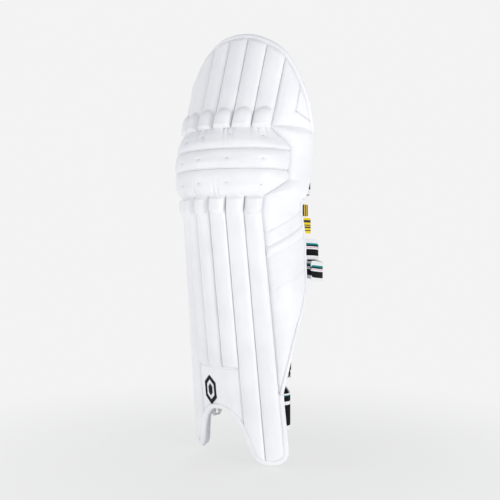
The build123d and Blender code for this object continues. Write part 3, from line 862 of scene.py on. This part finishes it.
def lobe_rows(side):
    """Rows (z, low u, high u) of one ankle lobe."""
    line = bottom_line[bottom_line[:, 0] * side > 0]
    foot = int(np.argmin(line[:, 1]))
    runs = (line[:foot + 1], line[foot:])
    rows = []
    for z in np.concatenate([np.arange(5, 16, 2), np.arange(16, SPLIT + 1, 4.5)]):
        ends = sorted(np.interp(z, *zip(*sorted((v, u) for u, v in run))) for run in runs)
        near = 0 if side > 0 else 1
        if z > 92 and side * ends[near] < 5:
            ends[near] = 5.0 * side
        rows.append((z, ends[0] + LINING_EDGE, ends[1] - LINING_EDGE))
    return np.array(rows)


def layer(rows, front, back, columns, material, waves, edge_at_top):
    """Closed layer between two depths, (well inside, at its edge), that comes forward to the
    bound edge at its sides and at its top or its foot."""
    s = np.linspace(0, 1, columns)[None, :]
    z = rows[:, :1] + 0 * s
    u = rows[:, 1:2] + s * (rows[:, 2:3] - rows[:, 1:2])
    near = np.minimum(u - rows[:, 1:2], rows[:, 2:3] - u)
    near = np.minimum(near, rows[-1, 0] - z if edge_at_top else z - rows[0, 0])
    thin = (1 - np.clip(near / THIN_EDGE, 0, 1)) ** 2
    outer = front[0] + (front[1] - front[0]) * thin
    inner = back[0] + (back[1] - back[0]) * thin
    ripple = waves * lattice(u / 16, z / 22, 31) * (1 - thin)
    return shell("layer", u, z, outer + ripple, inner + ripple, material, body=None)


def joined(name, pieces):
    """One object of several meshes, riding the pad."""
    whole = bmesh.new()
    material = pieces[0].data.materials[0]
    for piece in pieces:
        whole.from_mesh(piece.data)
        bpy.data.objects.remove(piece)
    mesh = bpy.data.meshes.new(name)
    whole.to_mesh(mesh)
    mesh.materials.append(material)
    mesh.shade_smooth()
    piece = bpy.data.objects.new(name, mesh)
    bpy.context.collection.objects.link(piece)
    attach(piece, "pad")
    return piece


def back_layer(name, front, back, material, waves=0.0):
    """Layer behind the whole face: one panel above the instep opening and one in each lobe."""
    main = layer(whole_rows(), front, back, 90, material, waves, edge_at_top=True)
    lobes = [layer(lobe_rows(side), front, back, 24, material, 0.0, edge_at_top=False) for side in SIDES]
    return joined(name, [main] + lobes)


def area_of(rows):
    """Area of a panel given by its rows."""
    return float(sum((b[0] - a[0]) * (a[2] - a[1] + b[2] - b[1]) / 2 for a, b in zip(rows, rows[1:])))


foam_core = back_layer("foam_sheet", (12.3, 12.3), (23.4, 12.8), foam)
finish(foam_core, "core_foam", "shin_foam_core", "knee_foam_core", "top_foam_core", fill=1.0)
cloth_back = back_layer("lining_sheet", (23.9, 12.9), (25.2, 13.5), lining_cloth, 0.25)
finish(cloth_back, "lining_cloth", "lining")
area = area_of(whole_rows()) + sum(area_of(lobe_rows(side)) for side in SIDES)


def lining_seam(name, line, depth=25.5):
    """Row of the lining's coarser stitches."""
    stitches(name, line, depth, thread, spacing=5.2, length=3.4, width=1.0)


for u in (-98, -42, 42, 98):
    lining_seam(f"lining_seam_{u}", [(u, z) for z in range(140, 452, 4)])
for height in (460, 606):
    lining_seam(f"lining_cross_seam_{height}", [(u, height) for u in range(-110, 130, 4)])
lining_seam("lining_edge_seam", inset(outer_top, 14)[8:-8], 23.4)


# ---- cushions -----------------------------------------------------------------------------
PAD_FRONT = 26.3      # depth of the cushions' fronts, just behind the lining


def cushion(node, low, high, foot, top, back, upright, level):
    """Padded cushion on the lining, quilted into a number of upright and of level channels."""
    s, t = unit_grid(70, 50)
    z = foot + t * (top - foot)
    end = np.minimum(z - foot, top - z)
    pull = 9 * (1 - np.clip(end / 14, 0, 1)) ** 2 + 1.2 * np.sin(t * math.pi)
    u = low + pull + s * (high - low - 2 * pull)
    near = np.minimum(np.minimum(u - low - pull, high - pull - u), end * 1.2)
    puff = 1 - (1 - np.clip(near / 16, 0, 1)) ** 2.4
    for count, part, length in ((upright, s, high - low), (level, t, top - foot)):
        for k in range(1, count):
            puff = puff * (1 - 0.5 * np.exp(-np.abs(part - k / count) * length / 3.4))
    skin = PAD_FRONT + 1.2 + (back - PAD_FRONT - 3.2) * np.sqrt(np.clip(puff, 0, 1))
    skin = np.maximum(skin + 0.5 * lattice(u / 12, z / 12, 17), PAD_FRONT + 1)
    piece = shell(f"{node}_pad", u, z, PAD_FRONT + 0 * u, skin, cushion_cloth)
    finish(piece, "cushion_cloth", node, fill=0.8)


for side, word in SIDES.items():
    cushion(f"shin_bolster_{word}", *sorted((side * 48, side * 92)), 150, 440, 43, 1, 5)
    cushion(f"knee_cushion_{word}", *sorted((side * 56, side * 112)), 478, 592, 43, 1, 2)
cushion("knee_cushion_middle", -52, 52, 470, 600, 43, 3, 1)
cushion("instep_cushion", -58, 58, 112, 146, 37.5, 4, 1)


# ---- straps -------------------------------------------------------------------------------
WEBBING, PATCH = 1.7, 1.1         # thicknesses
PATCH_INSET = 5                   # how much narrower than the webbing a patch is
PATCH_LIFT = (WEBBING + PATCH) / 2 + 0.05
LOOP_LENGTH = 88
HOOK_LENGTH = {"knee": 88, "calf": 88, "ankle": 34}      # the ankle's stays hidden from the front
HOOK_FROM_END = 14
SEWN_DEPTH = 26 + 3.2 + 1         # of the straps' sewn ends, clear of the lining and its seams
RING_LENGTH = 16                  # between a ring's two bars
EYE = 3.9                         # radius of the webbing's loop round a bar
STRAPS = {
    "knee": dict(width=50, ring=(-97, 12), ring_z=511, anchor=(200, 226, 511), tab=(-158, -182), loop=90,
                 run=[(90, 54, 511), (84, 74, 511), (60, 97, 511), (0, 110, 511), (-60, 102, 511),
                      (-86, 78, 511), (-91, 42, 511)],
                 end=[(-104, 46, 511), (-97, 82, 511), (-68, 109, 511), (0, 118, 511), (56, 105, 511)]),
    "calf": dict(width=38, ring=(-101, 10), ring_z=362, anchor=(190, 216, 384), tab=(-152, -176), loop=195,
                 run=[(97, 44, 384), (102, 70, 383), (78, 101, 379), (0, 122, 374), (-70, 108, 368),
                      (-93, 74, 364), (-95, 40, 362)],
                 end=[(-108, 44, 362), (-102, 80, 359), (-76, 115, 355), (0, 130, 348), (80, 111, 342),
                      (107, 80, 341), (111, 44, 344)]),
    "ankle": dict(width=64, ring=(-103, 6), ring_z=92, anchor=(100, 124, 92), tab=(-98, -122), loop=120,
                  run=[(95, -2, 92), (77, 22, 92), (46, 50, 92), (0, 66, 92), (-50, 62, 92),
                       (-84, 50, 92), (-96, 33, 92)],
                  end=[(-109, 36, 93), (-92, 57, 102), (-54, 72, 128), (0, 77, 156), (40, 56, 170),
                       (70, 32, 178), (92, 8, 183), (102, -3, 186)])}


def spline(points, step=3.0):
    """Natural cubic curve through points in space, by chord length, in even steps."""
    p = np.array(points, float)
    chord = distances(p)
    n, h = len(p), np.diff(chord)
    system, right = np.eye(n), np.zeros_like(p)
    for i in range(1, n - 1):
        system[i, i - 1:i + 2] = h[i - 1], 2 * (h[i - 1] + h[i]), h[i]
        right[i] = 6 * ((p[i + 1] - p[i]) / h[i] - (p[i] - p[i - 1]) / h[i - 1])
    bend = np.linalg.solve(system, right)
    at = np.linspace(0, chord[-1], int(chord[-1] / step) + 1)
    i = np.clip(np.searchsorted(chord, at, side="right") - 1, 0, n - 2)
    a, b = ((chord[i + 1] - at) / h[i])[:, None], ((at - chord[i]) / h[i])[:, None]
    cubic = (a ** 3 - a) * bend[i] + (b ** 3 - b) * bend[i + 1]
    return a * p[i] + b * p[i + 1] + cubic * (h[i] ** 2)[:, None] / 6


def on_lining(u, z):
    """Point (x, y, z) of a strap where it is sewn to the lining."""
    return tuple(place(u, z, SEWN_DEPTH) / MM)


def band(name, path, width, thickness, material, body, offset=0.0, round_end=False):
    """Flat webbing on edge along a path, with soft edges, its width and length kept as attributes."""
    direction = np.gradient(path, axis=0)
    length = distances(path)
    normal = np.stack([direction[:, 1], -direction[:, 0], 0 * direction[:, 0]], 1)
    normal /= np.linalg.norm(normal, axis=1)[:, None]
    front = [(x, 0.5 * math.sqrt(max(0.12, 1 - abs(x) ** 12))) for x in np.linspace(-1, 1, 15)]
    profile = np.array(front + [(x, -y) for x, y in front[::-1]])
    scale = np.ones(len(path))
    if round_end:
        last = np.clip((length[-1] - length) / 6, 0, 1)
        scale = 0.72 + 0.28 * np.sqrt(1 - (1 - last) ** 2)
    up = np.array([0, 0, 1.0])
    rows = (path[:, None] + normal[:, None] * (offset + profile[None, :, 1:] * thickness)
            + up * (profile[None, :, :1] * width / 2 * scale[:, None, None]))
    piece = make(name, rows * MM, tube_faces(*rows.shape[:2]), material, body, 60)
    store(piece, "across", np.tile((profile[:, 0] + 1) / 2, len(path)))
    store(piece, "length", np.repeat(length * MM, len(profile)))
    return piece


def eye_path(x, y, z, start, end):
    """Arc of webbing round a ring's bar."""
    return [(x + EYE * math.cos(a), y + EYE * math.sin(a), z) for a in np.linspace(start, end, 26)]


def piece_of(path, first, length):
    """The stretch of a path of a length that starts so far along it."""
    steps = distances(path)
    return path[(steps >= first) & (steps <= first + length)]


def paint(node, material):
    """Gives a CAD part its only material."""
    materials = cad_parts[node].data.materials
    materials.clear()
    materials.append(material)


for name, spec in STRAPS.items():
    (x, y), z, width = spec["ring"], spec["ring_z"], spec["width"]
    woven = ankle_cloth if name == "ankle" else strap_cloth
    loose = f"{name}_strap_loose"

    # the run, sewn in at the outer side
    first, second, height = spec["anchor"]
    run = spline([on_lining(first, height), on_lining(second, height)] + spec["run"])
    finish(band(f"{name}_webbing", run, width, WEBBING, woven, "pad"), "webbing", f"{name}_strap")

    # the loose end, round the ring's rear bar and back over the run, with its hook patch
    rear = y + RING_LENGTH
    end = spline([(x - EYE, rear, z), (x - EYE - 0.9, rear + 8, z)] + spec["end"])
    turn = np.array(eye_path(x, rear, z, math.pi * 2 + 1.2, math.pi))
    path = np.concatenate([turn[:-1], end])
    free = band(f"{name}_webbing_end", path, width, WEBBING, woven, loose, round_end=True)
    finish(free, "webbing", f"{name}_strap_end")
    length = HOOK_LENGTH[name]
    start = distances(end)[-1] - length - HOOK_FROM_END
    patch = band(f"{name}_hook", piece_of(end, start, length), width - PATCH_INSET, PATCH, hook, loose,
                 offset=PATCH_LIFT)
    finish(patch, "hook_tape", f"{name}_hook_patch")

    # the loop patch on the run
    start = distances(run)[-1] - spec["loop"] - LOOP_LENGTH - 1
    patch = band(f"{name}_loop", piece_of(run, start, LOOP_LENGTH), width - PATCH_INSET, PATCH, hook, "pad",
                 offset=-PATCH_LIFT)
    finish(patch, "loop_tape", "loop_patches")

    # the tab on the inner side, which holds the ring's front bar
    low, high = spec["tab"]
    blade = spline([on_lining(low, z), on_lining(high, z), (x + EYE + 0.4, y - 5, z)])
    turn = np.array(eye_path(x, y, z, -0.6, math.pi * 1.5))
    path = np.concatenate([blade, turn])
    finish(band(f"{name}_ring_tab", path, width, WEBBING, tab_webbing, "pad"), "webbing", "ring_tabs")
    paint(f"{name}_ring", ring_plastic)
paint("shin_canes", cane)


# ---- tags at the outer edge ---------------------------------------------------------------
TAG_X = 104.0      # within the thickness of the side wing's rear edge


def card(name, low, high, thick, material, body, bulge=0.0, rows=24, columns=16):
    """Thin card standing across X, between two corners (y, z), a little bent."""
    (y0, z0), (y1, z1) = low, high
    t, s = np.meshgrid(np.linspace(0, 1, rows), np.linspace(0, 1, columns), indexing="ij")
    into_corner = np.clip(1 - np.minimum(t, 1 - t) / 0.08, 0, 1)
    round_off = 0.12 * (1 - np.sqrt(1 - into_corner ** 2))
    y = y0 + (y1 - y0) * (round_off + s * (1 - 2 * round_off))
    z = z0 + (z1 - z0) * t
    bow = bulge * np.sin(math.pi * s) + bulge * 0.5 * (1 - t)
    points = np.stack([np.stack([TAG_X + bow + side * thick / 2, y, z], -1) for side in (1, -1)])
    count = rows * columns
    faces = grid_faces(rows, columns, flip=True) + grid_faces(rows, columns, count)
    faces += [[a, b, b + count, a + count] for a, b in rim(rows, columns)]
    piece = make(name, points * MM, faces, material, body, 30)
    store(piece, "across", np.tile(s.ravel(), 2))
    store(piece, "up", np.tile(t.ravel(), 2))
    return piece


def printed(name, ground_color, ink_color, bars, rough, direction="across"):
    """Card or woven tab with plain bars printed across it."""
    m = Nodes(name, ground_color, rough, Specular_IOR_Level=0.4)
    stops = [(0.0, ground_color)]
    for start, end in bars:
        stops += [(start, ink_color), (end, ground_color)]
    m.color(m.ramp(m.attribute(direction), stops, constant=True))
    m.rough(m.noise(200, 2), rough * 0.8, min(1, rough * 1.1))
    m.bump(m.noise(900, 3), 0.3, 0.0003)
    return m.material


tab_cloth = printed("edge_tab_weave", (0.014, 0.014, 0.013), (0.62, 0.42, 0.05),
                    [(0.2, 0.42), (0.6, 0.82)], 0.4)
tag_print = printed("tag_card_print", (0.83, 0.62, 0.005), (0.015, 0.015, 0.012),
                    [(0.16, 0.22), (0.34, 0.44), (0.5, 0.56), (0.7, 0.86)], 0.35, "up")
edge_tab = card("edge_tab_cloth", (29, 443.6), (43, 465), 1.0, tab_cloth, "pad", 0.5)
finish(edge_tab, "tab_cloth", "edge_tab")
tag = card("hang_tag_card", (29, 412.2), (51.5, 440.8), 0.6, tag_print, "hang_tag", 0.8)
finish(tag, "tag_card", "hang_tag")


# ---- camera, light, floor -----------------------------------------------------------------
PALE = (0.896, 0.896, 0.896, 1)      # what lies behind the object
FLOOR_SIDE, FLOOR_Z = 3.0, -0.004


def light(name, spot, target, size, power):
    """Round soft lamp that faces a target."""
    lamp = bpy.data.lights.new(name, "AREA")
    lamp.shape, lamp.size, lamp.energy = "DISK", size, power
    piece = bpy.data.objects.new(name, lamp)
    bpy.context.collection.objects.link(piece)
    piece.location = spot
    piece.rotation_euler = (Vector(target) - Vector(spot)).to_track_quat("-Z", "Y").to_euler()


def set_range(node, low, high, to_low, to_high):
    """Sets a Map Range node: its values from low to high become those from to_low to to_high."""
    for word, value in zip(("From Min", "From Max", "To Min", "To Max"), (low, high, to_low, to_high)):
        node.inputs[word].default_value = value


azimuth, distance, eye = math.radians(42.8), 1.45, 0.382      # metres
lens = bpy.data.cameras.new("camera")
lens.lens, lens.sensor_width = 55.4, 36
camera = bpy.data.objects.new("camera", lens)
bpy.context.collection.objects.link(camera)
camera.location = (distance * math.sin(azimuth), -distance * math.cos(azimuth), eye)
camera.rotation_euler = (math.pi / 2, 0, azimuth)
bpy.context.scene.camera = camera

light("key", (3.0, -0.2, 0.2), (0, 0, 0.35), 1.3, 44)
light("fill", (-1.3, -2.4, 0.5), (0, 0, 0.35), 1.8, 18)
light("back", (-1.4, 1.6, 1.2), (0, 0, 0.4), 1.6, 8)
world = bpy.data.worlds.new("pale")
world.use_nodes = True
tree = world.node_tree
seen, sky = tree.nodes.new("ShaderNodeBackground"), tree.nodes["Background"]
seen.inputs["Color"].default_value = PALE
sky.inputs["Color"].default_value = (0.93, 0.95, 1, 1)
level = tree.nodes.new("ShaderNodeTexCoord")
split, fall = tree.nodes.new("ShaderNodeSeparateXYZ"), tree.nodes.new("ShaderNodeMapRange")
set_range(fall, -0.3, 0.8, 0.9, 0.42)      # brighter from below, as over a pale floor
tree.links.new(level.outputs["Generated"], split.inputs[0])
tree.links.new(split.outputs["Z"], fall.inputs["Value"])
tree.links.new(fall.outputs[0], sky.inputs["Strength"])
mix, path = tree.nodes.new("ShaderNodeMixShader"), tree.nodes.new("ShaderNodeLightPath")
tree.links.new(path.outputs["Is Camera Ray"], mix.inputs[0])
tree.links.new(sky.outputs[0], mix.inputs[1])
tree.links.new(seen.outputs[0], mix.inputs[2])
tree.links.new(mix.outputs[0], tree.nodes["World Output"].inputs["Surface"])
bpy.context.scene.world = world
bpy.context.scene.view_settings.view_transform = "Standard"

ground = Nodes("floor_paint", (0.86, 0.86, 0.86), 0.9)
glow = ground.add("ShaderNodeEmission")
glow.inputs["Color"].default_value = PALE
far = ground.add("ShaderNodeVectorMath", operation="LENGTH")
ground.link(ground.coordinates, far.inputs[0])
fade = ground.add("ShaderNodeMapRange", interpolation_type="SMOOTHSTEP")
set_range(fade, 0.1, 0.9, 0.72, 1.0)       # metres from the object to the share of the glow
ground.link(far.outputs["Value"], fade.inputs["Value"])
blend = ground.add("ShaderNodeMixShader")
ground.link(fade.outputs[0], blend.inputs[0])
ground.link(ground.shader.outputs[0], blend.inputs[1])
ground.link(glow.outputs[0], blend.inputs[2])
ground.link(blend.outputs[0], ground.tree.nodes["Material Output"].inputs["Surface"])
corners = [(x * FLOOR_SIDE, y * FLOOR_SIDE, FLOOR_Z) for x, y in ((-1, -1), (1, -1), (1, 1), (-1, 1))]
floor = make("floor", corners, [[0, 1, 2, 3]], ground.material, body=None, crease=None)
